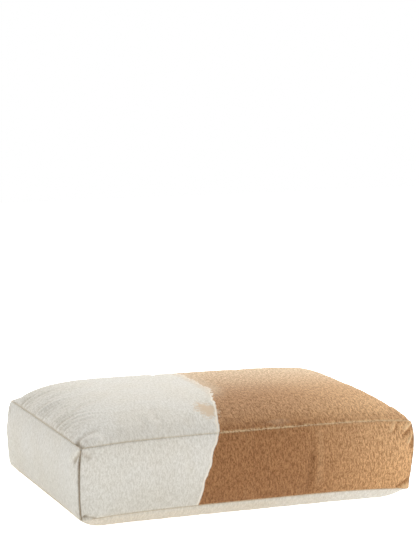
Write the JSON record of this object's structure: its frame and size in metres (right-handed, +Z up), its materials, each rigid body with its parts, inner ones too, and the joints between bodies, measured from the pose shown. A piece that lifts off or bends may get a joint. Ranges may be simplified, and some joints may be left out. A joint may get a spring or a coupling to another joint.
{
  "type": "floor cushion",
  "caption": "Rectangular boxed floor cushion: zipped cotton cover with crowned top, straight side walls and self seams, over a cased foam and fibre pad.",
  "frame": {"origin": "middle of the flat patch under the cushion, on the surface that it rests on", "axes": "+X along the length, +Y from the front wall to the zipped back wall, +Z up"},
  "size_m": [1.0266, 0.7314, 0.321],
  "materials": {
    "dyed_cotton": "washed slubby cotton, dip-dyed camel brown over half its length, matt",
    "undyed_cotton": "washed slubby cotton, natural off-white, matt",
    "thread": "spun polyester sewing thread, natural",
    "calico": "plain calico, matt",
    "wadding": "white polyester fibre wadding",
    "foam": "open-cell polyurethane foam",
    "zip_cloth": "woven polyester tape",
    "zip_coil": "nylon coil",
    "zip_metal": "die-cast, antique brass finish",
    "label": "satin ribbon, blank"
  },
  "bodies": {
    "cushion": {"back_boxing_lower": "dyed_cotton", "back_boxing_upper": "dyed_cotton", "back_left_corner_thread": "thread", "back_right_corner_thread": "thread", "bottom_panel": "undyed_cotton", "bottom_seam_thread": "thread", "care_label": "label", "foam_core": "foam", "front_boxing": "dyed_cotton", "front_left_corner_thread": "thread", "front_right_corner_thread": "thread", "left_boxing": "dyed_cotton", "pad_case_band": "calico", "pad_case_bottom": "calico", "pad_case_top": "calico", "right_boxing": "dyed_cotton", "top_panel": "dyed_cotton", "top_seam_thread": "thread", "wadding_band": "wadding", "wadding_bottom": "wadding", "wadding_top": "wadding", "zip_coil_lower": "zip_coil", "zip_coil_upper": "zip_coil", "zip_stop_left": "zip_metal", "zip_stop_right": "zip_metal", "zip_tape_lower": "zip_cloth", "zip_tape_upper": "zip_cloth", "zip_topstitch_lower": "thread", "zip_topstitch_upper": "thread"},
    "slider": {"zip_slider": "zip_metal"},
    "pull": {"zip_pull": "zip_metal"}
  },
  "joints": [
    {"name": "zip_slide", "type": "slide", "parent": "cushion", "child": "slider", "axis": [-1, 0, 0], "range_m": [0, 0.762]},
    {"name": "pull_swing", "type": "hinge", "parent": "slider", "child": "pull", "pos_m": [0.3816, 0.36599, 0.1465], "axis": [0, 0, -1], "range_deg": [0, 170]}
  ]
}
